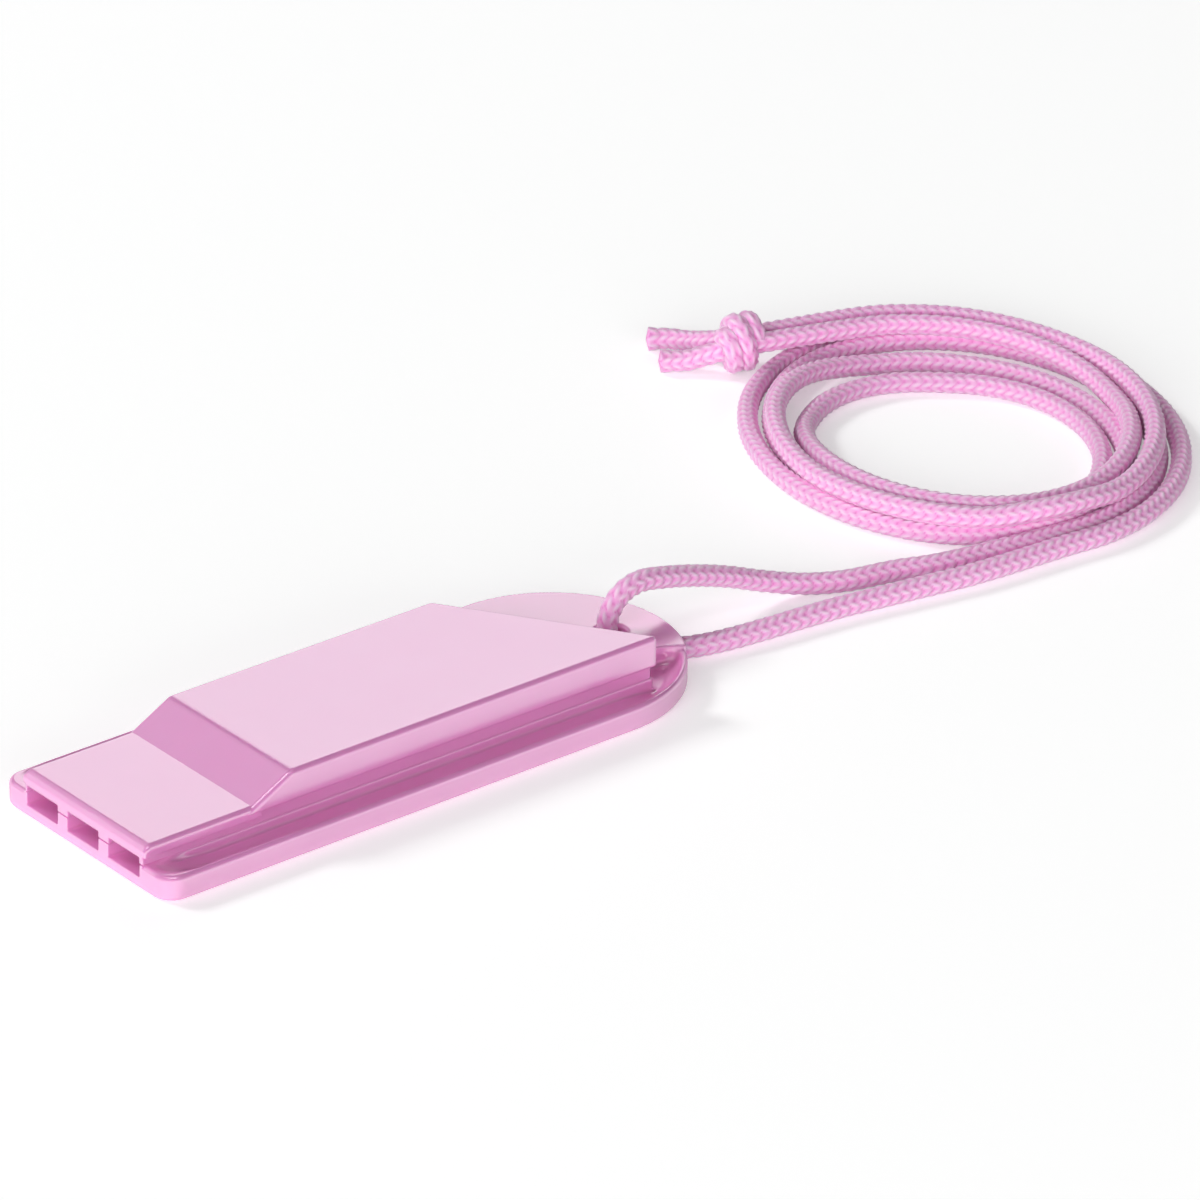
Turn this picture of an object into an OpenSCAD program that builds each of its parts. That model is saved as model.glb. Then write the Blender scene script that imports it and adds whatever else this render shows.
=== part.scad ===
// A flat pealess sports whistle with a braided cord, resting on its base.
// The origin is at the middle of the whistle's base. +X runs from the mouth to the tongue and +Z is up.

/* [Whistle body] */
// Length from the mouth to the end of the tongue
body_length = 68.1; // [66:0.1:76]
// Width across the flange
flange_width = 26.4; // [25.6:0.1:29]
// Height of the raised top
body_height = 7; // [6.4:0.1:9]
// Height of the rim and of the welded joint between the two shells
joint_height = 2.6; // [2.5:0.05:2.9]
// Radius of the flange's front corners in plan
corner_radius = 2.75; // [1.5:0.05:3.4]
// Chamfer along the lower edge of the flange
base_edge = 0.6; // [0.2:0.05:0.8]
// Rounding of the rim's upper edge, drawn as a slope
rim_edge = 0.5; // [0.2:0.05:0.6]

/* [Mouth] */
// Height of the mouth plate
mouth_height = 4.65; // [4.3:0.05:5.2]
// Width of the mouth plate
mouth_width = 18.8; // [18.4:0.1:19]
// Length of the flat mouth plate
mouth_length = 12.5; // [10:0.1:14]
// Length of the ramp up to the raised top
ramp_length = 4.45; // [3:0.05:6]
// Lean of the front face
mouth_lean = 16.5; // [5:0.5:20]
// Bevel along the upper front edge
mouth_bevel = 0.45; // [0.1:0.05:0.6]

/* [Windways and chambers] */
// Width of each windway
slot_width = 4.7; // [4:0.1:4.8]
// Distance between neighbouring windways
slot_pitch = 6.45; // [5.6:0.05:6.5]
// Height of the windway floor
slot_floor = 1.3; // [1.1:0.05:1.5]
// Height of the windway roof
slot_roof = 3.1; // [2.9:0.05:3.4]
// Thickness of the chamber floor
floor_wall = 1; // [0.7:0.05:1.1]
// Thickness of the chamber roof
roof_wall = 1; // [0.7:0.05:1.3]
// Thickness of the slanting wall behind the chambers
rear_wall = 1.4; // [1:0.1:2]
// Length of each sound window in the base
window_length = 4; // [2.5:0.1:5]
// Length of the slope under each sound window's edge
window_slope = 1.6; // [0.8:0.1:2.4]

/* [Raised top] */
// Width of the raised top at its upper surface
top_width = 18.4; // [18:0.1:18.8]
// Width of the raised top at its lower, sharp edge
skirt_width = 19.5; // [19.2:0.1:20]
// Height of that sharp edge
skirt_height = 4; // [3.7:0.05:4.2]
// Distance from the mouth to the top's rear corner on the near side
near_reach = 59.4; // [56:0.1:60]
// Distance from the mouth to the top's rear corner on the far side
far_reach = 48.4; // [44:0.1:52]
// Radius of the raised top's corners in plan
top_corner = 1; // [0.5:0.1:1.5]
// Bevel along the raised top's upper edge
top_edge = 0.45; // [0.2:0.05:0.7]

/* [Side grooves] */
// Height of the groove floor beside the body
groove_floor = 1.5; // [1.2:0.05:1.9]
// Thickness of the rim at its crest
rim_wall = 0.5; // [0.4:0.05:0.8]
// Distance from the mouth to the front of each groove
groove_start = 1.6; // [1.2:0.1:3]
// Distance from the mouth to the end of the groove on the far side
groove_end = 51; // [48:0.1:53]
// Distance from the middle line to the end of the near side's groove
pocket_end = 5.6; // [5.4:0.1:7]

/* [Tongue] */
// Height of the tongue
tongue_height = 3; // [2.95:0.05:3.3]
// Diameter of the cord hole
hole_diameter = 4; // [3.5:0.1:4.6]
// Distance from the mouth to the cord hole
hole_reach = 62.1; // [61.8:0.05:62.3]
// Height of the relief for the cord under the tongue
relief_height = 2.2; // [2.15:0.05:2.3]
// Width of that relief
relief_width = 2.7; // [2.4:0.1:3]

/* [Cord] */
// Diameter of the cord
cord_diameter = 2.1; // [1.9:0.05:2.1]
// Clear gap between neighbouring cord turns
cord_gap = 0.45; // [0.42:0.01:0.6]
// Distance that the coil's turns step inwards in one turn
coil_step = 5.4; // [5.2:0.1:5.8]
// Half length of the coil's outer turn across the view
coil_half_width = 23.8; // [22:0.1:26]
// Half length of the coil's outer turn along its longer axis
coil_half_length = 28.3; // [26:0.1:30]
// Diameter of the knot
knot_diameter = 6.2; // [5.6:0.1:6.6]

/* [Hidden] */

overrun = 1;
layer = 0.01;
mouth_x = -body_length / 2;
rear_x = body_length / 2 - flange_width / 2;
ramp_x = mouth_x + mouth_length;
top_x = ramp_x + ramp_length;
near_x = mouth_x + near_reach;
far_x = mouth_x + far_reach;
hole_x = mouth_x + hole_reach;
tongue_gap = 0.3;
wall_half = mouth_width / 2;
skirt_growth = (skirt_width - top_width) / 2;
round_sides = 96;
corner_sides = 32;

// The relief's bend and its way out through the rim, from the hole.
relief_bend = [2.8, -2.6];
relief_exit = [8.6, -5.2];

// Places that the free stretch of cord runs through, from the outer coil to the inner one.
cord_route = [
    [66.8, -9.7, 1.05], [59, -8.3, 1.05], [51.4, -6.9, 1.05], [46.5, -6.3, 1.05], [42.4, -5.9, 1.05],
    [38.6, -5.4, 1.05], [35.6, -4.7, 1.05], [33, -3.6, 1.05], [30.8, -2.5, 1.05], [29.3, -1.2, 1.05],
    [28.4, -0.3, 1.35], [28, 0, 2.1], [27.9, 0.1, 3], [28.2, 0.3, 4.3], [29.1, 0.5, 5.6],
    [30.7, 0.7, 6.5], [32.9, 0.9, 6.7], [35.8, 1, 6.1], [39.5, 1, 5.1], [43.5, 0.8, 3.8],
    [47.5, 0.2, 2.3], [51.5, -1.2, 1.3], [55.5, -2.9, 1.05], [60.5, -4.2, 1.05], [66, -6.1, 1.05]
];
tail_long_route = [[-1.6, 3, -0.3], [-2.6, 5.4, -0.6], [-3.2, 8.4, -0.8]];
tail_short_route = [[-2.6, 0.2, -0.2], [-4.6, 1.4, -0.4], [-6.4, 3.6, -0.6]];

// The coil winds inwards on the ground, climbs one layer and winds out again.
coil_centre = [84.1, 15.2];
coil_tilt = -18;
coil_start = -90;
coil_turn = 450;
coil_end = 835;
coil_climb = 180;
loop_rings = 24;
loop_sides = 6;
free_sides = 8;
cord_pitch = cord_diameter + cord_gap;

function unit(v) = v / norm(v);
function clamp_share(x) = max(0, min(1, x));
function flat(v, z) = [v[0], v[1], z];

// Distance inwards from the outer turn at winding angle a, for a strand that starts inset inwards.
function coil_inset(a, inset) =
    inset + coil_step * (min(a, coil_turn) - coil_start - max(0, a - coil_turn)) / 360;

function coil_height(a) =
    cord_diameter / 2 + cord_pitch * clamp_share((a - coil_turn + coil_climb / 2) / coil_climb);

function coil_point(a, inset) =
    let(
        along = (coil_half_width - coil_inset(a, inset)) * cos(a),
        across = (coil_half_length - coil_inset(a, inset)) * sin(a)
    )
    [
        coil_centre[0] + along * cos(coil_tilt) - across * sin(coil_tilt),
        coil_centre[1] + along * sin(coil_tilt) + across * cos(coil_tilt),
        coil_height(a)
    ];

function coil_turns(inset) =
    let(wound = coil_end - coil_start, steps = ceil(wound * loop_rings / 360))
    [for (i = [0 : steps]) coil_point(coil_start + wound * i / steps, inset)];

// Adds a straight end, one cord diameter long, at each end of a route.
function with_ends(route) =
    let(last = len(route) - 1)
    concat(
        [route[0] - cord_diameter * flat(unit(route[1] - route[0]), 0)],
        route,
        [route[last] + cord_diameter * flat(unit(route[last] - route[last - 1]), 0)]
    );

coil_outer_path = with_ends(coil_turns(0));
coil_inner_path = with_ends(coil_turns(cord_pitch));

// The direction in which a path sets off, and the direction in which it arrives.
function setting_off(path) = unit(path[1] - path[0]);
function arriving(path) = unit(path[len(path) - 1] - path[len(path) - 2]);

loop_path = concat(
    [coil_outer_path[0], coil_outer_path[0] - cord_diameter * setting_off(coil_outer_path)],
    cord_route,
    [coil_inner_path[0] - cord_diameter * setting_off(coil_inner_path), coil_inner_path[0]]
);

knot_entry = (coil_outer_path[len(coil_outer_path) - 1] + coil_inner_path[len(coil_inner_path) - 1]) / 2;
knot_axis = arriving(coil_outer_path);
knot_length = 2 * cord_diameter;
knot_exit = knot_entry + knot_length * knot_axis;

function tail_path(start, route) = concat([start], [for (p = route) knot_exit + p]);

// Direction of a path at ring i.
function heading(path, i) =
    i == 0 ? unit(path[1] - path[0])
    : i == len(path) - 1 ? unit(path[i] - path[i - 1])
    : unit(unit(path[i + 1] - path[i]) + unit(path[i] - path[i - 1]));

function square_to(v, direction) = unit(v - (v * direction) * direction);

// One side vector for each ring, turned no more than the path itself turns.
function sides_along(path, i, side) =
    let(next = square_to(side, heading(path, i)))
    i == len(path) - 1 ? [next] : concat([next], sides_along(path, i + 1, next));

function first_side(path) = cross(heading(path, 0), [0, 0, 1]);

module cord_tube(path, side_count) {
    side = sides_along(path, 0, first_side(path));
    rings = len(path);
    points = [
        for (i = [0 : rings - 1]) for (k = [0 : side_count - 1])
            let(turn = 360 * (k + 0.5) / side_count, up = cross(side[i], heading(path, i)))
            path[i] + cord_diameter / 2 * (cos(turn) * side[i] + sin(turn) * up)
    ];
    walls = [
        for (i = [0 : rings - 2]) for (k = [0 : side_count - 1])
            let(
                a = i * side_count + k,
                b = i * side_count + (k + 1) % side_count,
                c = a + side_count,
                d = b + side_count
            )
            each [[a, b, d], [a, d, c]]
    ];
    first_cap = [for (k = [1 : side_count - 2]) [0, k + 1, k]];
    last = (rings - 1) * side_count;
    last_cap = [for (k = [1 : side_count - 2]) [last, last + k, last + k + 1]];
    polyhedron(points, concat(walls, first_cap, last_cap));
}

// Least distance between a strand's own surfaces, measured on points half a turn or more apart.
function least_gap(path, skip) =
    min([
        for (i = [0 : len(path) - 1]) for (k = [i + skip : 1 : len(path) - 1]) norm(path[i] - path[k])
    ]) - cord_diameter;

echo(outer_coil_gap = least_gap(coil_outer_path, loop_rings / 2));
echo(inner_coil_gap = least_gap(coil_inner_path, loop_rings / 2));

// X of the slanting rear wall at distance y from the middle line, moved in by inset.
function rear_at(y, inset) =
    let(slant = (near_x - far_x) / top_width)
    (near_x + far_x) / 2 - slant * y - inset * sqrt(1 + slant * slant);

function flange_profile() = [
    [base_edge, 0], [0, base_edge], [0, joint_height - rim_edge], [rim_edge, joint_height]
];

// A solid that fills the flange's plan, with a profile of inset and height along its whole edge.
module flange_solid(profile) {
    half = flange_width / 2;
    top = profile[len(profile) - 1][1];
    base = profile[0][1];
    translate([rear_x, 0, 0])
        rotate_extrude($fn = round_sides)
            polygon(concat([[0, base]], [for (p = profile) [half - p[0], p[1]]], [[0, top]]));
    translate([mouth_x + corner_radius, 0, 0])
        rotate([90, 0, 90])
            linear_extrude(rear_x - mouth_x - corner_radius)
                polygon(concat(
                    [for (p = profile) [half - p[0], p[1]]],
                    [for (i = [len(profile) - 1 : -1 : 0]) [profile[i][0] - half, profile[i][1]]]
                ));
    for (side = [-1, 1])
        translate([mouth_x + corner_radius, side * (half - corner_radius), 0])
            rotate_extrude($fn = round_sides)
                polygon(concat(
                    [[0, base]], [for (p = profile) [corner_radius - p[0], p[1]]], [[0, top]]
                ));
    translate([mouth_x, half - corner_radius, 0])
        rotate([90, 0, 0])
            linear_extrude(flange_width - 2 * corner_radius)
                polygon(concat(
                    [for (i = [len(profile) - 1 : -1 : 0]) profile[i]],
                    [[corner_radius + overrun, base], [corner_radius + overrun, top]]
                ));
}

// Plan of the body inside the side grooves, down to the joint.
module wall_plan(inset) {
    half = wall_half - inset;
    polygon([
        [mouth_x, -half], [rear_at(-half, inset), -half], [rear_at(half, inset), half], [mouth_x, half]
    ]);
}

// Section of a side groove, from the body's wall to the rim's crest.
function groove_profile() =
    let(
        inner = wall_half,
        outer = flange_width / 2 - rim_wall,
        span = outer - inner,
        rise = joint_height - groove_floor
    )
    [
        [inner - overrun, joint_height + overrun],
        [inner - overrun, groove_floor + rise / 4],
        [inner, groove_floor + rise / 4],
        [inner + span / 5, groove_floor],
        [inner + span / 2, groove_floor + rise / 8],
        [inner + span * 4 / 5, groove_floor + rise / 2],
        [outer, joint_height],
        [outer, joint_height + overrun]
    ];

module groove_run(start, end, side) {
    translate([start, 0, 0])
        rotate([90, 0, 90])
            linear_extrude(end - start)
                polygon([for (p = groove_profile()) [side * p[0], p[1]]]);
}

module grooves() {
    start = mouth_x + groove_start;
    difference() {
        union() {
            groove_run(start, mouth_x + groove_end, 1);
            groove_run(start, rear_x, -1);
            intersection() {
                translate([rear_x, 0, 0]) rotate_extrude($fn = round_sides) polygon(groove_profile());
                translate([rear_x, -flange_width, 0])
                    cube([flange_width, flange_width - pocket_end, joint_height + 2 * overrun]);
            }
        }
        translate([0, 0, -overrun]) linear_extrude(joint_height + 3 * overrun) wall_plan(0);
    }
}

// Plan of one chamber, from the mouth to the slanting rear wall.
module chamber_plan(y, start) {
    low = y - slot_width / 2;
    high = y + slot_width / 2;
    polygon([[start, low], [rear_at(low, rear_wall), low], [rear_at(high, rear_wall), high], [start, high]]);
}

// Section of a chamber: it opens above the window and follows the ramp up to the roof.
function chamber_section() =
    let(ramp_roof = mouth_height - roof_wall)
    [
        [ramp_x, slot_floor], [ramp_x, ramp_roof], [top_x, body_height - roof_wall],
        [near_x, body_height - roof_wall], [near_x, floor_wall], [ramp_x + window_length, floor_wall]
    ];

module chambers() {
    for (i = [-1 : 1]) {
        y = i * slot_pitch;
        intersection() {
            linear_extrude(body_height) chamber_plan(y, ramp_x);
            translate([0, y + slot_width / 2, 0])
                rotate([90, 0, 0])
                    linear_extrude(slot_width)
                        polygon(chamber_section());
        }
        translate([mouth_x - overrun, y - slot_width / 2, slot_floor])
            cube([mouth_length + 2 * overrun, slot_width, slot_roof - slot_floor]);
    }
}

module windows() {
    for (i = [-1 : 1])
        translate([ramp_x, i * slot_pitch + slot_width / 2, 0])
            rotate([90, 0, 0])
                linear_extrude(slot_width)
                    polygon([
                        [0, -overrun], [0, slot_floor + layer], [window_length, floor_wall],
                        [window_length + window_slope, 0], [window_length + window_slope, -overrun]
                    ]);
}

module cord_relief() {
    hole = [hole_x, 0];
    bend = hole + relief_bend;
    exit = hole + relief_exit;
    translate([0, 0, -overrun])
        linear_extrude(relief_height + overrun) {
            translate(hole) circle(d = hole_diameter, $fn = corner_sides);
            for (run = [[hole, bend], [bend, exit]]) {
                step = run[1] - run[0];
                translate(run[0])
                    rotate(atan2(step[1], step[0]))
                        translate([0, -relief_width / 2])
                            square([norm(step), relief_width]);
                translate(run[0]) circle(d = relief_width, $fn = corner_sides);
            }
        }
}

// The tongue stands a little above the rim, behind the slanting wall.
module tongue() {
    radius = flange_width / 2 - rim_wall - rim_edge;
    translate([0, 0, joint_height - overrun])
        linear_extrude(tongue_height - joint_height + overrun)
            difference() {
                intersection() {
                    translate([rear_x, 0]) circle(radius, $fn = round_sides);
                    translate([0, -pocket_end]) square([body_length, radius + pocket_end]);
                }
                wall_plan(-tongue_gap);
            }
}

module lower_shell() {
    color("hotpink")
        difference() {
            union() {
                difference() {
                    flange_solid(flange_profile());
                    grooves();
                }
                tongue();
            }
            chambers();
            windows();
            cord_relief();
            translate([hole_x, 0, -overrun])
                cylinder(d = hole_diameter, h = tongue_height + 2 * overrun, $fn = round_sides);
        }
}

// Leaning front face and bevel of the mouth plate, as a side view.
function mouth_section() =
    let(
        lean_x = (mouth_height - mouth_bevel - joint_height) * tan(mouth_lean),
        front = mouth_x + rim_edge
    )
    [
        [front, joint_height], [front + lean_x, mouth_height - mouth_bevel],
        [front + lean_x + mouth_bevel, mouth_height], [ramp_x + overrun, mouth_height],
        [ramp_x + overrun, joint_height]
    ];

module mouth_plate() {
    translate([0, wall_half, 0])
        rotate([90, 0, 0])
            linear_extrude(mouth_width)
                polygon(mouth_section());
}

// Plan of the raised top with its front edge at start and its sides moved out by growth.
module top_plan(start, growth) {
    half = top_width / 2 + growth;
    offset(r = top_corner, $fn = corner_sides)
        offset(delta = -top_corner)
            polygon([
                [start, -half], [rear_at(-half, -growth), -half], [rear_at(half, -growth), half], [start, half]
            ]);
}

module top_slab(start, growth, z) {
    translate([0, 0, z]) linear_extrude(layer) top_plan(start, growth);
}

module raised_top() {
    hull() {
        top_slab(ramp_x, skirt_growth, skirt_height);
        top_slab(ramp_x, skirt_growth, mouth_height - layer);
        top_slab(top_x - top_edge, 0, body_height - top_edge);
        top_slab(top_x, -top_edge, body_height - layer);
    }
}

module upper_shell() {
    color("lightpink")
        difference() {
            union() {
                mouth_plate();
                raised_top();
                translate([0, 0, joint_height])
                    linear_extrude(skirt_height + layer - joint_height)
                        intersection() {
                            wall_plan(0);
                            translate([ramp_x, -flange_width]) square([body_length, 2 * flange_width]);
                        }
            }
            chambers();
        }
}

module cord_loop() {
    color("plum") cord_tube(loop_path, free_sides);
}

module cord_coil_outer() {
    color("orchid") cord_tube(coil_outer_path, loop_sides);
}

module cord_coil_inner() {
    color("violet") cord_tube(coil_inner_path, loop_sides);
}

// Two wraps of cord round the two strands that pass through them.
module cord_knot() {
    bearing = atan2(knot_axis[1], knot_axis[0]);
    color("orchid")
        translate(knot_entry)
            rotate([0, 90, bearing])
                union() {
                    cylinder(d = knot_diameter - cord_diameter, h = knot_length, $fn = corner_sides);
                    for (wrap = [0, 1])
                        translate([0, 0, cord_diameter * (wrap + 1 / 2)])
                            rotate_extrude($fn = corner_sides)
                                translate([(knot_diameter - cord_diameter) / 2, 0])
                                    circle(d = cord_diameter, $fn = corner_sides);
                }
}

module cord_tail_long() {
    color("plum") cord_tube(tail_path(knot_exit + [0, cord_diameter / 2, 0], tail_long_route), free_sides);
}

module cord_tail_short() {
    color("plum") cord_tube(tail_path(knot_exit - [0, cord_diameter / 2, 0], tail_short_route), free_sides);
}

lower_shell();
upper_shell();
cord_loop();
cord_coil_outer();
cord_coil_inner();
cord_knot();
cord_tail_long();
cord_tail_short();
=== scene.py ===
import math

import bpy
import numpy as np
from mathutils import Matrix, Vector


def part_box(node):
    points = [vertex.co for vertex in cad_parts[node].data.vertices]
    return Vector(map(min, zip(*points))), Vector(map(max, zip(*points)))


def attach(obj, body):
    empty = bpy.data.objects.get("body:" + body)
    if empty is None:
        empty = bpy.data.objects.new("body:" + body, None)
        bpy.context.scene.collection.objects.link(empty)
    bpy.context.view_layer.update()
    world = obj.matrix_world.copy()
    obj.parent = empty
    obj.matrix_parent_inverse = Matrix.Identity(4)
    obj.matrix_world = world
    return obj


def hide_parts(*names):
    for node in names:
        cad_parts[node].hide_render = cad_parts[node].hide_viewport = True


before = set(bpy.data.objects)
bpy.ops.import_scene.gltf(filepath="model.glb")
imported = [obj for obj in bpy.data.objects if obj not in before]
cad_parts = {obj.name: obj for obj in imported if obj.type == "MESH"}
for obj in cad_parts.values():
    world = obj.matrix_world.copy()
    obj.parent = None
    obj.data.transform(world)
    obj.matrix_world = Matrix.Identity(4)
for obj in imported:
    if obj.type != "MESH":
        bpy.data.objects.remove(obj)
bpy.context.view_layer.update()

# Millimetres are used for all shapes below, and become metres when a mesh is made.
MM = 0.001

# Camera, fitted to the straight edges in the photograph.
VIEW_RIGHT = Vector((0.78103, -0.62450, 0))
VIEW_UP = Vector((0.28303, 0.35397, 0.89142))
VIEW_AHEAD = Vector((0.55669, 0.69622, -0.45321))
AIM = Vector((19.86, -8.91, 12.62))
CAMERA_DISTANCE = 785.75
FOCAL_LENGTH = 249.9
SENSOR_WIDTH = 36
CLIP_START, CLIP_END = 0.01, 20

# Flange of the lower shell, up to the joint between the shells. The front face leans back from LEAN_FROM_Z up.
SHELL_LOW, SHELL_HIGH = (np.array(corner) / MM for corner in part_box("lower_shell"))
MOUTH_X = SHELL_LOW[0]
HALF_WIDTH = SHELL_HIGH[1]
REAR_X = SHELL_HIGH[0] - HALF_WIDTH
CORNER_RADIUS = 2.2
BASE_EDGE = 0.6
RIM_EDGE = 0.55
JOINT_Z = 2.6
FRONT_LEAN = math.radians(2)
LEAN_FROM_Z = 1.0

# Mouth plate, ramp and raised cap. Reaches are measured from the mouth, and the rear wall slants between the two.
MOUTH_TOP = 4.65
MOUTH_LENGTH = 12.5
RAMP_LENGTH = 4.45
RAMP_X = MOUTH_X + MOUTH_LENGTH
TOP_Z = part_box("upper_shell")[1][2] / MM
RAMP_SLOPE = math.atan2(TOP_Z - MOUTH_TOP, RAMP_LENGTH)
TOP_HALF = 9.2
NEAR_REACH = 60.4
FAR_REACH = 48.4
SKIRT_HALF = 9.75
SKIRT_Z = 4.0
PLATE_HALF = 9.65
PLATE_SKIRT_Z = 3.4
CAP_EDGE = 0.55
PLATE_EDGE = 0.5
RAMP_EDGE = 0.25
SKIRT_EDGE = 0.08
FRONT_EDGE = 0.3
BEVEL_Z = 3.95
BEVEL_EDGE = 0.1

# The cap's acute rear tip is cut blunt, at right angles to the line that halves it. The spread is the length of its
# two walls' directions added together.
TIP_SPREAD = 0.954
TIP_CUT = 0.42
TIP_EDGE = 0.5

# Wall under the cap, which stands in the lower shell's seat, and how far parts of one shell lap.
WALL_HALF = 9.35
WALL_CORNER = 0.6
WALL_INSET = 0.12
WALL_DROP = 0.5
WALL_FILLET = 0.25
LAP = 1

# Rear tongue with the cord's hole. A pocket parts it from the groove on the near side.
TONGUE_Z = 3.0
TONGUE_GAP = 0.1
TONGUE_EDGE = 0.28
TONGUE_FILLET = 0.2
POCKET_Y = 5.3
POCKET_TURN = math.radians(-31)
POCKET_EDGE = 0.25
POCKET_FILLET = 0.5
HOLE_REACH = 62.3
HOLE_X = MOUTH_X + HOLE_REACH
HOLE_RADIUS = 1.7
HOLE_EDGE = 0.35

# Side groove: a cove at this distance from the edge and this height, which sinks at the rear and rises at the front.
GROOVE_INSET = 2.3
GROOVE_Z = 3.3
GROOVE_RADIUS = 1.8
GROOVE_START = 1.5
GROOVE_RISE = 3
GROOVE_END = 51
GROOVE_DROP = 0.4
GROOVE_DROP_START = 1
GROOVE_DROP_LENGTH = 5
GROOVE_EDGE = 0.3
GROOVE_WALL_FILLET = 0.4
GROOVE_TONGUE_FILLET = 0.7
GROOVE_FRONT_FILLET = 1.0

# Air channels: slots at the mouth, chambers with walls this thick, and windows in the underside, whose rear end
# slopes. Its lean turns a length along the whistle into a distance from that slope.
SLOT_WIDTH = 4.95
SLOT_PITCH = 6.45
SLOT_FLOOR = 1.3
SLOT_ROOF = 3.35
SLOT_CORNER = 0.2
OPENING_EDGE = 0.1
SHELL_WALL = 1
REAR_WALL = 1.4
WINDOW_LENGTH = 4
WINDOW_SLOPE = 1.6
WINDOW_LEAN = 0.53

# Recess under the tongue, which lets the cord out to the side. Its two places are measured from the hole.
RELIEF_HEIGHT = 2.2
RELIEF_HALF = 1.35
RELIEF_BEND = (2.8, -2.6)
RELIEF_EXIT = (8.6, -5.2)
RELIEF_EDGE = 0.3

# Grid that the shells' surfaces are made on. The dressed cap reaches past its solid, so the grid does too.
GRID_CELL = 0.2
CELLS_BEFORE = 2.5
CELLS_AFTER = 8
HALVINGS = 12
FLAT_PULL = 0.05
CORNER_PULL = 0.25

# Cord sizes and the places that its free stretch runs through.
CORD_DIAMETER = 2.1
CORD_PITCH = 2.45
CORD_ROUTE = [
    (66.8, -9.7, 1.05), (59, -8.3, 1.05), (51.4, -6.9, 1.05), (46.5, -6.3, 1.05), (42.4, -5.9, 1.05),
    (38.6, -5.4, 1.05), (35.6, -4.7, 1.05), (33, -3.6, 1.05), (30.8, -2.5, 1.05), (29.3, -1.2, 1.05),
    (28.4, -0.3, 1.35), (28, 0, 2.1), (27.9, 0.1, 3), (28.2, 0.3, 4.3), (29.1, 0.5, 5.6),
    (30.7, 0.7, 6.5), (32.9, 0.9, 6.7), (35.8, 1, 6.1), (39.5, 1, 5.1), (43.5, 0.8, 3.8),
    (47.5, 0.2, 2.3), (51.5, -1.2, 1.3), (55.5, -2.9, 1.05), (60.5, -4.2, 1.05), (66, -6.1, 1.05),
]
IN_THE_HOLE = 11
TAIL_LONG_ROUTE = [(78.6, 46.1, 2.2), (78.1, 49, 1.25), (76.9, 51, 1.15), (75.2, 52.3, 1.15)]
TAIL_SHORT_ROUTE = [(76.4, 44.2, 1.9), (75, 45.5, 1.25), (73.8, 46.6, 1.15), (72.8, 47.3, 1.15)]
TAIL_FLARE = 0.16
FLARE_LENGTH = 0.6

# The coil is an oval whose middle drifts. It winds inward by COIL_STEP a turn from the start angle to the turn
# angle, and from there back outward over itself to the end angle, but no further than COIL_LEAST degrees of winding.
COIL_CENTRE = (85.4, 16.2)
COIL_DRIFT = (-1.6, -1.6)
COIL_DRIFT_ANGLE = 540
COIL_TILT = math.radians(-18)
COIL_HALF_WIDTH = 23.9
COIL_HALF_LENGTH = 28.1
COIL_START = -90
COIL_TURN = 420
COIL_END = 810
COIL_LEAST = 190
COIL_STEP = 5.5
COIL_POINT_ANGLE = 5
COIL_STRIDE = 3
COIL_UNDER_ANGLE = 90
COIL_SMOOTHINGS = 6
COIL_SAG = 0.012

# At the back of the coil the two strands part and lie further in. That begins after SPREAD_FROM degrees of winding
# and is complete SPREAD_OVER degrees later.
COIL_SPREAD = 2.6
COIL_DIP = 1.6
SPREAD_FROM, SPREAD_OVER = 200, 300
SPREAD_SHARPNESS = 3

# Knot: its middle and direction, and where the strands enter it side by side.
KNOT_MIDDLE = (79.2, 42.3, 3.25)
KNOT_AHEAD = (-0.93, 0.36, -0.06)
KNOT_LENGTH = 4.2
KNOT_DIAMETER = 6.2
KNOT_LEAD = 0.6
STRANDS_HALF_GAP = 1.05
KNOT_HALF_GAP = 0.9
WRAP_TURNS = 2.3
WRAP_SPAN = 1.6
WRAP_POINTS = 60
WRAP_START = 0.3
WRAP_GROWTH = 6

# Braid: stitches in columns along the cord, each column slanting the other way from the next. Both ends are closed
# by a low bulge.
STITCH_PITCH = 1.15
STITCH_COLUMNS = 8
STITCH_SLANT = 0.9
STITCH_FILL = 1.9
STITCH_DEPTH = 0.36
STITCH_PROUD = 0.09
COLUMN_SIDES = 4
STITCH_RINGS = 6
END_BULGE = 0.1
# Braid height given to the two end points, which only sets how much painted shade the end caps get.
END_HEIGHT = 0.2

# Colours, and what the floor and the sky show.
PLASTIC_LIGHT = (0.92, 0.35, 0.7)
PLASTIC_DARK = (0.91, 0.335, 0.685)
# Cord colours: painted shade in the braid's crevices, the cord's own pink between, and a painted highlight on the
# crests.
CORD_CREVICE_SHADE = (0.68, 0.06, 0.43)
CORD_MIDDLE = (0.97, 0.39, 0.77)
CORD_CREST_HIGHLIGHT = (1.0, 0.72, 0.91)
FLOOR_DARK = (0.93, 0.935, 0.93)
FLOOR_LIGHT = (0.95, 0.95, 0.95)
WHITE = (1, 1, 1, 1)
FLOOR_HALF = 3000
FLOOR_LIFT = 0.38
SKY_LEVEL = 0.05
HORIZON_LEVEL = 1.0
HORIZON_TOP, SKY_BOTTOM = 0.05, 0.45

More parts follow.
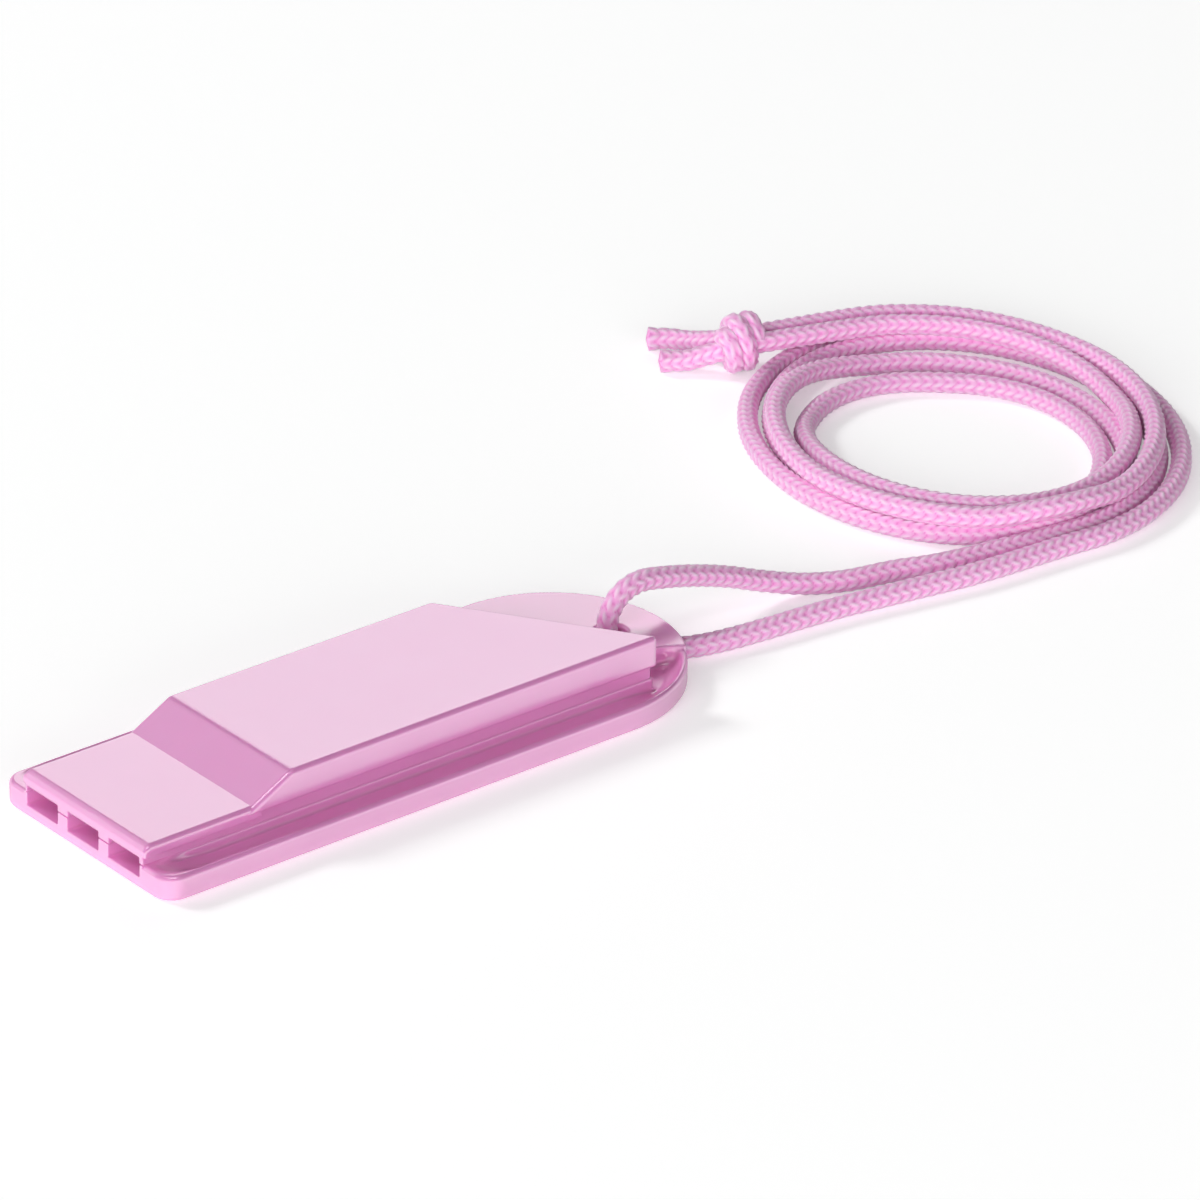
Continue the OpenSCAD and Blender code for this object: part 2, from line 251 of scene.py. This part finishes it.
# Lamps: the direction each stands in, its distance and sides in metres, its level, and whether gloss shows it.
LAMPS = {
    "key_softbox": ((-0.315, 0.744, 0.588), 2.4, (0.5, 0.5), 0.29, False),
    "left_softbox": ((-0.98, -0.1, 0.15), 2.6, (1.4, 1.4), 0.2, False),
    "low_softbox": ((-0.367, -0.92, 0.1), 2.6, (1.6, 1.6), 0.47, False),
    "front_softbox": ((-0.84, -0.42, 0.34), 2.6, (1.6, 1.6), 0.35, False),
    "back_softbox": ((0.557, 0.696, 0.453), 3.0, (1.4, 1.4), 0.08, True),
    "slope_softbox": ((-0.058, 0.696, 0.715), 3.0, (1.2, 1.2), 0.014, True),
    "bevel_softbox": ((-0.48, 0.69, 0.54), 3.0, (1.0, 1.0), 0.02, True),
    "corner_softbox": ((-0.618, -0.479, 0.526), 2.6, (0.3, 0.3), 0.012, True),
    "edge_softbox": ((-0.16, -0.2, 0.96), 2.6, (1.6, 0.24), 0.06, True),
}


def make_camera():
    data = bpy.data.cameras.new("camera")
    data.lens = FOCAL_LENGTH
    data.sensor_width = SENSOR_WIDTH
    data.clip_start = CLIP_START
    data.clip_end = CLIP_END
    camera = bpy.data.objects.new("camera", data)
    bpy.context.collection.objects.link(camera)
    axes = Matrix((VIEW_RIGHT, VIEW_UP, -VIEW_AHEAD)).transposed().to_4x4()
    camera.matrix_world = Matrix.Translation((AIM - CAMERA_DISTANCE * VIEW_AHEAD) * MM) @ axes
    bpy.context.scene.camera = camera


def new_mesh(name, points, faces):
    """An object with a smooth mesh of these points, in millimetres, and faces."""
    mesh = bpy.data.meshes.new(name)
    mesh.from_pydata((np.asarray(points) * MM).tolist(), [], faces)
    mesh.polygons.foreach_set("use_smooth", np.ones(len(mesh.polygons), dtype=bool))
    piece = bpy.data.objects.new(name, mesh)
    bpy.context.collection.objects.link(piece)
    return piece


# Node helpers for the materials.
def new_material(name):
    material = bpy.data.materials.new(name)
    material.use_nodes = True
    nodes = material.node_tree.nodes
    return material, nodes, material.node_tree.links, nodes["Principled BSDF"]


def set_inputs(node, values):
    for name, value in values.items():
        node.inputs[name].default_value = value


def noise(nodes, links, scale, detail=2.0):
    place = nodes.new("ShaderNodeTexCoord")
    texture = nodes.new("ShaderNodeTexNoise")
    set_inputs(texture, {"Scale": scale, "Detail": detail})
    links.new(place.outputs["Object"], texture.inputs["Vector"])
    return texture.outputs["Fac"]


def ramp(nodes, links, source, stops, target):
    """Feeds the target from the source by way of these stops, each a place and a colour."""
    node = nodes.new("ShaderNodeValToRGB")
    elements = node.color_ramp.elements
    for i, (place, colour) in enumerate(stops):
        element = elements[i] if i < 2 else elements.new(place)
        element.position = place
        element.color = (*colour, 1)
    links.new(source, node.inputs["Fac"])
    links.new(node.outputs["Color"], target)


def bump(nodes, links, source, strength, distance, shader):
    node = nodes.new("ShaderNodeBump")
    set_inputs(node, {"Strength": strength, "Distance": distance})
    links.new(source, node.inputs["Height"])
    links.new(node.outputs["Normal"], shader.inputs["Normal"])


def seen_directly(nodes, links):
    """1 for camera, glossy and transmission rays, and 0 for the rays that light the object."""
    path = nodes.new("ShaderNodeLightPath")
    found = path.outputs["Is Camera Ray"]
    for ray in ("Is Glossy Ray", "Is Transmission Ray"):
        either = nodes.new("ShaderNodeMath")
        either.operation = "MAXIMUM"
        links.new(found, either.inputs[0])
        links.new(path.outputs[ray], either.inputs[1])
        found = either.outputs[0]
    return found


def plastic_material():
    """Moulded plastic with faint clouds in its colour, uneven polish and a fine grain."""
    material, nodes, links, shader = new_material("pink_plastic")
    clouds = noise(nodes, links, scale=90)
    ramp(nodes, links, clouds, [(0.3, PLASTIC_DARK), (0.7, PLASTIC_LIGHT)], shader.inputs["Base Color"])
    polish = noise(nodes, links, scale=600, detail=3)
    ramp(nodes, links, polish, [(0.3, (0.16,) * 3), (0.75, (0.22,) * 3)], shader.inputs["Roughness"])
    set_inputs(shader, {
        "IOR": 3.3,
        "Subsurface Weight": 0.25,
        "Subsurface Radius": (1.0, 0.4, 0.75),
        "Subsurface Scale": 0.002,
    })
    bump(nodes, links, noise(nodes, links, scale=2500), strength=0.02, distance=0.00005, shader=shader)
    return material


def cord_material():
    """Braided yarn with painted shade in the crevices braided_tube marks, a painted highlight on the crests, and a
    soft sheen.
    """
    material, nodes, links, shader = new_material("pink_cord")
    relief = nodes.new("ShaderNodeAttribute")
    relief.attribute_name = "relief"
    # The braid height picks the colour: painted shade low in the crevices, painted highlight high on the crests.
    stops = [(0.08, CORD_CREVICE_SHADE), (0.5, CORD_MIDDLE), (1.0, CORD_CREST_HIGHLIGHT)]
    ramp(nodes, links, relief.outputs["Fac"], stops, shader.inputs["Base Color"])
    set_inputs(shader, {
        "Roughness": 0.4,
        "IOR": 1.6,
        "Sheen Weight": 0.6,
        "Sheen Roughness": 0.5,
        "Sheen Tint": (1, 0.75, 0.92, 1),
        "Subsurface Weight": 0.2,
        "Subsurface Radius": (1.0, 0.4, 0.7),
        "Subsurface Scale": 0.0004,
    })
    fibres = noise(nodes, links, scale=9000, detail=3)
    bump(nodes, links, fibres, strength=0.25, distance=0.00006, shader=shader)
    return material


# Distances, in millimetres, that are negative inside a solid.
def round_cut(a, b, radius):
    """What lies inside both, with the edge between them rounded."""
    corner = np.hypot(np.maximum(a + radius, 0), np.maximum(b + radius, 0))
    return np.minimum(np.maximum(a, b), -radius) + corner


def round_join(a, b, radius):
    """What lies inside either, with a fillet between them."""
    return -round_cut(-a, -b, radius)


def flange_edge(x, y):
    across = np.abs(y) - HALF_WIDTH + CORNER_RADIUS
    along = MOUTH_X + CORNER_RADIUS - x
    front = np.hypot(np.maximum(along, 0), np.maximum(across, 0))
    front = front + np.minimum(np.maximum(along, across), 0) - CORNER_RADIUS
    return np.where(x > REAR_X, np.hypot(x - REAR_X, y) - HALF_WIDTH, front)


def slant_wall(x, y, growth):
    slope = (NEAR_REACH - FAR_REACH) / (2 * TOP_HALF)
    middle = MOUTH_X + (NEAR_REACH + FAR_REACH) / 2
    return (x - middle + slope * y) / math.hypot(1, slope) - growth


def front_face(x, z):
    lean = np.maximum(z - LEAN_FROM_Z, 0) * math.tan(FRONT_LEAN)
    return (MOUTH_X + lean - x) * math.cos(FRONT_LEAN)


def body_wall(x, y):
    return round_cut(np.abs(y) - WALL_HALF, slant_wall(x, y, -WALL_INSET), WALL_CORNER)


def tongue_plan(x, y):
    end = (x - REAR_X) * math.sin(POCKET_TURN) - y * math.cos(POCKET_TURN)
    near = round_join(-POCKET_Y - y, end, POCKET_FILLET)
    far = MOUTH_X + GROOVE_END - x
    return np.where(y < 0, near, far)


def groove(x, y, z):
    inset = -flange_edge(x, y)
    drop = GROOVE_DROP * np.clip((x - REAR_X - GROOVE_DROP_START) / GROOVE_DROP_LENGTH, 0, 1)
    cove = np.hypot(np.minimum(inset - GROOVE_INSET, 0), np.minimum(z - GROOVE_Z + drop, 0)) - GROOVE_RADIUS
    cut = round_cut(cove, -body_wall(x, y), GROOVE_WALL_FILLET)
    cut = round_cut(cut, -tongue_plan(x, y), GROOVE_TONGUE_FILLET)
    rise = (MOUTH_X + GROOVE_START - x + GROOVE_RISE * (JOINT_Z - z)) / math.hypot(1, GROOVE_RISE)
    return round_cut(cut, rise, GROOVE_FRONT_FILLET)


def relief(x, y, z):
    best = None
    start = np.array((HOLE_X, 0))
    for place in (RELIEF_BEND, RELIEF_EXIT):
        end = np.array((HOLE_X, 0)) + place
        step = end - start
        share = np.clip(((x - start[0]) * step[0] + (y - start[1]) * step[1]) / (step @ step), 0, 1)
        reach = np.hypot(x - start[0] - share * step[0], y - start[1] - share * step[1]) - RELIEF_HALF
        best = reach if best is None else np.minimum(best, reach)
        start = end
    return round_cut(best, z - RELIEF_HEIGHT, RELIEF_EDGE)


def hollows(x, y, z):
    """The three air channels, each with its slot, its chamber and its window."""
    nearest = np.clip(np.round(y / SLOT_PITCH), -1, 1) * SLOT_PITCH
    across = np.abs(y - nearest) - SLOT_WIDTH / 2
    middle = (SLOT_FLOOR + SLOT_ROOF) / 2
    slot = round_cut(across, np.abs(z - middle) - (SLOT_ROOF - SLOT_FLOOR) / 2, SLOT_CORNER)
    slot = np.maximum(slot, x - RAMP_X - LAP)
    roof = (z - MOUTH_TOP + SHELL_WALL) * math.cos(RAMP_SLOPE) - (x - RAMP_X) * math.sin(RAMP_SLOPE)
    roof = np.maximum(roof, z - TOP_Z + SHELL_WALL)
    chamber = np.maximum(np.maximum(RAMP_X - x, slant_wall(x, y, -REAR_WALL)), across)
    chamber = np.maximum(np.maximum(chamber, roof), SHELL_WALL - z)
    window = np.maximum(np.maximum(across, RAMP_X - x), z - SLOT_FLOOR)
    end = x - RAMP_X - WINDOW_LENGTH - (SHELL_WALL - z) * WINDOW_SLOPE
    window = np.maximum(window, end * WINDOW_LEAN)
    return np.minimum(np.minimum(slot, chamber), window)


def lower_shell(x, y, z):
    edge = flange_edge(x, y)
    rim = round_cut(edge, z - JOINT_Z, RIM_EDGE)
    tongue = round_cut(edge, z - TONGUE_Z, TONGUE_EDGE)
    tongue = round_cut(tongue, tongue_plan(x, y), POCKET_EDGE)
    tongue = np.maximum(tongue, TONGUE_GAP - body_wall(x, y))
    seat = np.maximum(np.maximum(edge, z - JOINT_Z), body_wall(x, y))
    solid = round_join(np.minimum(rim, seat), tongue, TONGUE_FILLET)
    solid = round_cut(solid, -z, BASE_EDGE)
    solid = round_cut(solid, -groove(x, y, z), GROOVE_EDGE)
    hole = np.hypot(x - HOLE_X, y) - HOLE_RADIUS
    solid = round_cut(solid, -hole, HOLE_EDGE)
    solid = np.maximum(solid, -relief(x, y, z))
    solid = np.maximum(solid, front_face(x, z))
    return round_cut(solid, -hollows(x, y, z), OPENING_EDGE)


def upper_shell(x, y, z):
    rear = slant_wall(x, y, 0)
    sides = round_cut(np.abs(y) - SKIRT_HALF, rear, CAP_EDGE)
    tip = (rear - y - SKIRT_HALF) / TIP_SPREAD + TIP_CUT
    sides = round_cut(sides, tip, TIP_EDGE)
    ramp_face = (z - MOUTH_TOP) * math.cos(RAMP_SLOPE) - (x - RAMP_X) * math.sin(RAMP_SLOPE)
    cap = round_cut(sides, round_cut(z - TOP_Z, ramp_face, RAMP_EDGE), CAP_EDGE)
    cap = round_cut(np.maximum(cap, RAMP_X - LAP - x), SKIRT_Z - z, SKIRT_EDGE)
    plate = round_cut(np.abs(y) - PLATE_HALF, z - MOUTH_TOP, PLATE_EDGE)
    plate = round_cut(np.maximum(plate, x - RAMP_X - LAP), PLATE_SKIRT_Z - z, SKIRT_EDGE)
    wall = np.maximum(body_wall(x, y) + WALL_INSET, z - MOUTH_TOP + WALL_DROP)
    wall = np.maximum(wall, JOINT_Z - z)
    solid = round_join(np.minimum(cap, plate), wall, WALL_FILLET)
    bevel = (MOUTH_X - x + z - BEVEL_Z) * math.sqrt(0.5)
    front = round_cut(front_face(x, z), bevel, BEVEL_EDGE)
    solid = round_cut(solid, front, FRONT_EDGE)
    solid = np.maximum(solid, JOINT_Z - z)
    return round_cut(solid, -hollows(x, y, z), OPENING_EDGE)


def slopes(distance, points, reach):
    """The surface's normals at points, from the distances this far to both sides."""
    found = []
    for axis in range(3):
        step = np.zeros(3)
        step[axis] = reach
        found.append(distance(*(points + step).T) - distance(*(points - step).T))
    found = np.array(found).T
    return found / np.maximum(np.linalg.norm(found, axis=1, keepdims=True), 1e-12)


def crossings(distance, grids, inside, axis):
    """Grid edges along one axis that the surface crosses, and the place of each crossing."""
    size = inside.shape[axis]
    first, second = np.take(inside, range(size - 1), axis), np.take(inside, range(1, size), axis)
    cells = np.argwhere(first != second)
    leaving = first[tuple(cells.T)]
    start = np.array([grids[k][cells[:, k]] for k in range(3)]).T
    low, high = np.zeros(len(cells)), np.full(len(cells), GRID_CELL)
    for _ in range(HALVINGS):
        middle = (low + high) / 2
        points = start.copy()
        points[:, axis] += middle
        still = (distance(*points.T) < 0) == leaving
        low, high = np.where(still, middle, low), np.where(still, high, middle)
    points = start.copy()
    points[:, axis] += (low + high) / 2
    return cells, leaving, points


def contour(name, distance, low, high):
    """A mesh of the surface where distance is zero, with one vertex in each grid cell it crosses."""
    grids = [
        np.arange(a - CELLS_BEFORE * GRID_CELL, b + CELLS_AFTER * GRID_CELL, GRID_CELL)
        for a, b in zip(low, high)
    ]
    inside = distance(*np.meshgrid(*grids, indexing="ij")) < 0
    shape = np.array(inside.shape)
    owners, quads, places, normals = [], [], [], []
    for axis in range(3):
        cells, leaving, points = crossings(distance, grids, inside, axis)
        one, two = np.eye(3, dtype=int)[(axis + 1) % 3], np.eye(3, dtype=int)[(axis + 2) % 3]
        around = np.array([cells - one - two, cells - two, cells, cells - one])
        ids = np.ravel_multi_index(around.transpose(2, 0, 1), shape)
        quads.append(np.where(leaving, ids, ids[::-1]).T)
        owners.append(ids.reshape(-1))
        normal = slopes(distance, points, reach=0.004)
        places.append(np.tile(points, (4, 1)))
        normals.append(np.tile(normal, (4, 1)))
    owners, inverse = np.unique(np.concatenate(owners), return_inverse=True)
    places, normals = np.concatenate(places), np.concatenate(normals)
    count = len(owners)

    def total(values):
        return np.bincount(inverse, weights=values, minlength=count)

    # Each vertex moves from the middle of its cell's crossings to where their tangent planes meet.
    number = total(np.ones(len(inverse)))
    centre = np.array([total(places[:, k]) / number for k in range(3)]).T
    offset = np.sum(normals * (places - centre[inverse]), axis=1)
    matrix = np.array([[total(normals[:, a] * normals[:, b]) for a in range(3)] for b in range(3)])
    matrix = matrix.transpose(2, 0, 1) + FLAT_PULL * np.eye(3)
    target = np.array([total(normals[:, k] * offset) for k in range(3)]).T
    move = np.linalg.solve(matrix, target[:, :, None])[:, :, 0]
    points = centre + np.clip(move, -GRID_CELL, GRID_CELL)
    faces = np.searchsorted(owners, np.concatenate(quads))
    piece = new_mesh(name, points, faces.tolist())

    # Shading normals are read a little way into each face, so that sharp edges stay sharp.
    corners = points[faces]
    toward = corners + CORNER_PULL * (corners.mean(axis=1, keepdims=True) - corners)
    corner_normals = slopes(distance, toward.reshape(-1, 3), reach=0.01)
    piece.data.normals_split_custom_set(corner_normals.tolist())
    return piece


# Cord routes.
def coil_point(angle, inset):
    turned = min(angle, COIL_TURN) - COIL_START - max(0, angle - COIL_TURN)
    turned = max(turned, COIL_LEAST) if angle > COIL_TURN else turned
    back = ((1 + math.sin(math.radians(angle))) / 2) ** SPREAD_SHARPNESS
    back *= min(1, max(0, (turned - SPREAD_FROM) / SPREAD_OVER))
    inward = inset * (1 + COIL_SPREAD / CORD_PITCH * back) + COIL_DIP * back + COIL_STEP * turned / 360
    along = (COIL_HALF_WIDTH - inward) * math.cos(math.radians(angle))
    across = (COIL_HALF_LENGTH - inward) * math.sin(math.radians(angle))
    share = turned / COIL_DRIFT_ANGLE
    return (
        COIL_CENTRE[0] + share * COIL_DRIFT[0] + along * math.cos(COIL_TILT) - across * math.sin(COIL_TILT),
        COIL_CENTRE[1] + share * COIL_DRIFT[1] + along * math.sin(COIL_TILT) + across * math.cos(COIL_TILT),
        CORD_DIAMETER / 2,
    )


def coil_strands():
    """Both strands of the coil, each laid on whatever part of the coil lies under it."""
    angles = np.arange(COIL_START, COIL_END + 1, COIL_POINT_ANGLE)
    strands = np.array([[coil_point(a, inset) for a in angles] for inset in (0, CORD_PITCH)])
    for _ in range(COIL_SMOOTHINGS):
        strands[:, 1:-1] = (strands[:, :-2] + 2 * strands[:, 1:-1] + strands[:, 2:]) / 4
    for i in range(len(angles)):
        under = angles[:i][angles[:i] < angles[i] - COIL_UNDER_ANGLE]
        if len(under) == 0:
            continue
        for strand in strands:
            below = strands[:, :len(under)].reshape(-1, 3)
            apart = np.hypot(*(below - strand[i])[:, :2].T)
            rise = np.sqrt(np.maximum(CORD_DIAMETER ** 2 - apart ** 2, 0))
            resting = np.where(apart < CORD_DIAMETER, below[:, 2] + rise, CORD_DIAMETER / 2)
            strand[i, 2] = max(strand[i, 2], resting.max())
    for strand in strands:
        run = run_along(strand)
        lifted = strand[None, :, 2] - COIL_SAG * (run[:, None] - run[None]) ** 2
        strand[:, 2] = lifted.max(axis=1)
    return strands


def run_along(path):
    """Length of the path up to each of its points."""
    return np.concatenate([[0], np.cumsum(np.linalg.norm(np.diff(path, axis=0), axis=1))])


def rounded(points, count=8):
    """A smooth curve through points."""
    points = np.array(points, dtype=float)
    padded = np.vstack([2 * points[0] - points[1], points, 2 * points[-1] - points[-2]])
    shares = np.linspace(0, 1, count, endpoint=False)[:, None]
    curve = []
    for a, b, c, d in zip(padded, padded[1:], padded[2:], padded[3:]):
        curve.append(0.5 * (
            2 * b + (c - a) * shares + (2 * a - 5 * b + 4 * c - d) * shares ** 2
            + (3 * b - a - 3 * c + d) * shares ** 3
        ))
    return np.vstack(curve + [points[-1:]])


def even_steps(path, step):
    run = run_along(path)
    count = max(2, round(run[-1] / step))
    at = np.linspace(0, run[-1], count + 1)
    return np.array([np.interp(at, run, path[:, k]) for k in range(3)]).T, at


def braid_height(run, turn):
    """Height of the braid, 0 in its crevices and 1 on its crests, at a place round and along it."""
    column = turn * STITCH_COLUMNS
    share = column - np.floor(column)
    slant = np.where(np.floor(column) % 2 == 0, share, 1 - share) * STITCH_SLANT
    along = (run / STITCH_PITCH + slant) % 1
    across = np.sqrt(np.maximum(1 - (STITCH_FILL * (share - 0.5)) ** 2, 0))
    return across * np.sqrt(np.maximum(1 - (STITCH_FILL * (along - 0.5)) ** 2, 0))


def directions(path):
    """At each point of a path the direction ahead, and two across it that turn as little as they can."""
    ahead = np.gradient(path, axis=0)
    ahead /= np.linalg.norm(ahead, axis=1, keepdims=True)
    side = np.cross(ahead[0], (0, 0, 1) if abs(ahead[0][2]) < 0.9 else (1, 0, 0))
    sides = []
    for direction in ahead:
        side = side - (side @ direction) * direction
        side = side / np.linalg.norm(side)
        sides.append(side)
    sides = np.array(sides)
    return ahead, sides, np.cross(sides, ahead)


def braided_tube(name, path, flare=0.0):
    """A braided cord along a path, with its centre line and length. Its end swells by the flare."""
    path, run = even_steps(np.asarray(path), STITCH_PITCH / STITCH_RINGS)
    ahead, sides, ups = directions(path)
    count = STITCH_COLUMNS * COLUMN_SIDES
    turn = np.arange(count) / count
    height = braid_height(run[:, None], turn[None] + 0.5 / count)
    left = run[-1] - run
    swell = 1 + flare * np.exp(-left / FLARE_LENGTH)
    radius = (CORD_DIAMETER / 2 + STITCH_PROUD - STITCH_DEPTH * (1 - height)) * swell[:, None]
    ring = np.cos(2 * np.pi * turn)[None, :, None] * sides[:, None] \
        + np.sin(2 * np.pi * turn)[None, :, None] * ups[:, None]
    points = (path[:, None] + radius[:, :, None] * ring).reshape(-1, 3)
    rings = len(path)
    a = (np.arange(rings - 1)[:, None] * count + np.arange(count)).reshape(-1)
    b = (np.arange(rings - 1)[:, None] * count + (np.arange(count) + 1) % count).reshape(-1)
    faces = np.array([a, b, b + count, a + count]).T.tolist()
    ends = [path[0] - END_BULGE * ahead[0], path[-1] + (END_BULGE + flare) * ahead[-1]]
    points = np.vstack([points, ends])
    first, last = rings * count, rings * count + 1
    for k in range(count):
        following = (k + 1) % count
        faces.append([first, following, k])
        faces.append([last, (rings - 1) * count + k, (rings - 1) * count + following])
    piece = new_mesh(name, points, faces)
    # The braid height is stored for the cord's material, which paints shade in the crevices and a highlight on the
    # crests.
    relief_value = piece.data.attributes.new("relief", "FLOAT", "POINT")
    relief_value.data.foreach_set("value", np.append(height.reshape(-1), [END_HEIGHT] * 2))
    return piece, path, run[-1]


def dress(piece, material, slot, *nodes):
    piece.data.materials.clear()
    piece.data.materials.append(material)
    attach(piece, "root")
    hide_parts(*nodes)


def make_knot(middle, ahead):
    """Wraps of the same cord round the strands, tighter at both ends."""
    across = np.cross((0, 0, 1), ahead)
    up = np.cross(ahead, across)
    path = []
    for share in np.linspace(0, 1, WRAP_POINTS):
        angle = 2 * np.pi * WRAP_TURNS * share
        growth = min(1, WRAP_GROWTH * share + WRAP_START, WRAP_GROWTH * (1 - share) + WRAP_START)
        reach = (KNOT_DIAMETER - CORD_DIAMETER) / 2 * growth
        along = (share - 0.5) * CORD_DIAMETER * WRAP_SPAN
        path.append(middle + along * ahead + reach * (np.cos(angle) * across + np.sin(angle) * up))
    return braided_tube("cord_knot_wraps", np.array(path))[0]


def make_cords(material):
    """Both strands from the hole through the coil into the knot, the knot's wraps and the two tails."""
    middle = np.array(KNOT_MIDDLE)
    ahead = np.array(KNOT_AHEAD) / np.linalg.norm(KNOT_AHEAD)
    across = np.cross((0, 0, 1), ahead)
    before = middle - (KNOT_LENGTH / 2 + KNOT_LEAD) * ahead
    outer, inner = coil_strands()
    strands = []
    for name, route, coil, side in (
        ("cord_lower_strand", CORD_ROUTE[IN_THE_HOLE::-1], outer, -1),
        ("cord_upper_strand", CORD_ROUTE[IN_THE_HOLE:], inner, 1),
    ):
        into_knot = [before + side * STRANDS_HALF_GAP * across, middle + side * KNOT_HALF_GAP * across]
        strands.append(braided_tube(name, rounded(np.vstack([route, coil[::COIL_STRIDE], into_knot]))))
    (lower, lower_line, lower_length), (upper, upper_line, upper_length) = strands
    knot = make_knot(middle, ahead)
    tails = []
    for name, side, route in (("cord_tail_a", -1, TAIL_LONG_ROUTE), ("cord_tail_b", 1, TAIL_SHORT_ROUTE)):
        path = rounded(np.vstack([[middle + side * KNOT_HALF_GAP * across], route]))
        tails.append(braided_tube(name, path, flare=TAIL_FLARE)[0])
    dress(lower, material, "pink_cord", "cord_loop", "cord_coil_outer")
    dress(upper, material, "pink_cord", "cord_loop", "cord_coil_inner")
    dress(knot, material, "pink_cord", "cord_knot")
    dress(tails[0], material, "pink_cord", "cord_tail_long")
    dress(tails[1], material, "pink_cord", "cord_tail_short")


def make_whistle(material):
    for name, distance, node in (
        ("whistle_lower_shell", lower_shell, "lower_shell"), ("whistle_upper_shell", upper_shell, "upper_shell")
    ):
        low, high = (np.array(corner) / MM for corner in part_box(node))
        dress(contour(name, distance, low, high), material, "pink_plastic", node)


def make_floor():
    material, nodes, links, shader = new_material("floor_white")
    grain = noise(nodes, links, scale=4)
    ramp(nodes, links, grain, [(0, FLOOR_DARK), (1, FLOOR_LIGHT)], shader.inputs["Base Color"])
    set_inputs(shader, {"Roughness": 0.9, "Emission Color": WHITE})
    lift = nodes.new("ShaderNodeMapRange")
    set_inputs(lift, {"To Max": FLOOR_LIFT})
    links.new(seen_directly(nodes, links), lift.inputs["Value"])
    links.new(lift.outputs["Result"], shader.inputs["Emission Strength"])
    corners = [(FLOOR_HALF * x, FLOOR_HALF * y, 0) for x, y in ((-1, -1), (1, -1), (1, 1), (-1, 1))]
    floor = new_mesh("floor", corners, [(0, 1, 2, 3)])
    floor.data.materials.append(material)


def make_sky():
    """A world that shows white at the horizon and dims upward, and that lights the object evenly and weakly."""
    world = bpy.data.worlds.new("world")
    bpy.context.scene.world = world
    world.use_nodes = True
    world.cycles.sampling_method = "NONE"
    nodes, links = world.node_tree.nodes, world.node_tree.links
    background = nodes["Background"]
    set_inputs(background, {"Color": WHITE})
    place = nodes.new("ShaderNodeTexCoord")
    parts = nodes.new("ShaderNodeSeparateXYZ")
    links.new(place.outputs["Generated"], parts.inputs["Vector"])
    fade = nodes.new("ShaderNodeMapRange")
    set_inputs(fade, {
        "From Min": HORIZON_TOP, "From Max": SKY_BOTTOM, "To Min": HORIZON_LEVEL, "To Max": SKY_LEVEL,
    })
    links.new(parts.outputs["Z"], fade.inputs["Value"])
    strength = nodes.new("ShaderNodeMapRange")
    set_inputs(strength, {"To Min": SKY_LEVEL})
    links.new(seen_directly(nodes, links), strength.inputs["Value"])
    links.new(fade.outputs["Result"], strength.inputs["To Max"])
    links.new(strength.outputs["Result"], background.inputs["Strength"])


def make_lamps():
    """Each lamp lights a surface facing it to its level, where 1 shows white as white."""
    for name, (direction, distance, size, level, in_gloss) in LAMPS.items():
        data = bpy.data.lights.new(name, "AREA")
        data.shape = "RECTANGLE"
        data.size, data.size_y = size
        data.energy = 4 * math.pi * level * distance ** 2
        lamp = bpy.data.objects.new(name, data)
        direction = Vector(direction).normalized()
        lamp.location = AIM * MM + direction * distance
        lamp.rotation_euler = direction.to_track_quat("Z", "Y").to_euler()
        lamp.visible_glossy = in_gloss
        bpy.context.collection.objects.link(lamp)


bpy.context.scene.view_settings.view_transform = "Standard"
make_camera()
make_cords(cord_material())
make_whistle(plastic_material())
make_floor()
make_sky()
make_lamps()
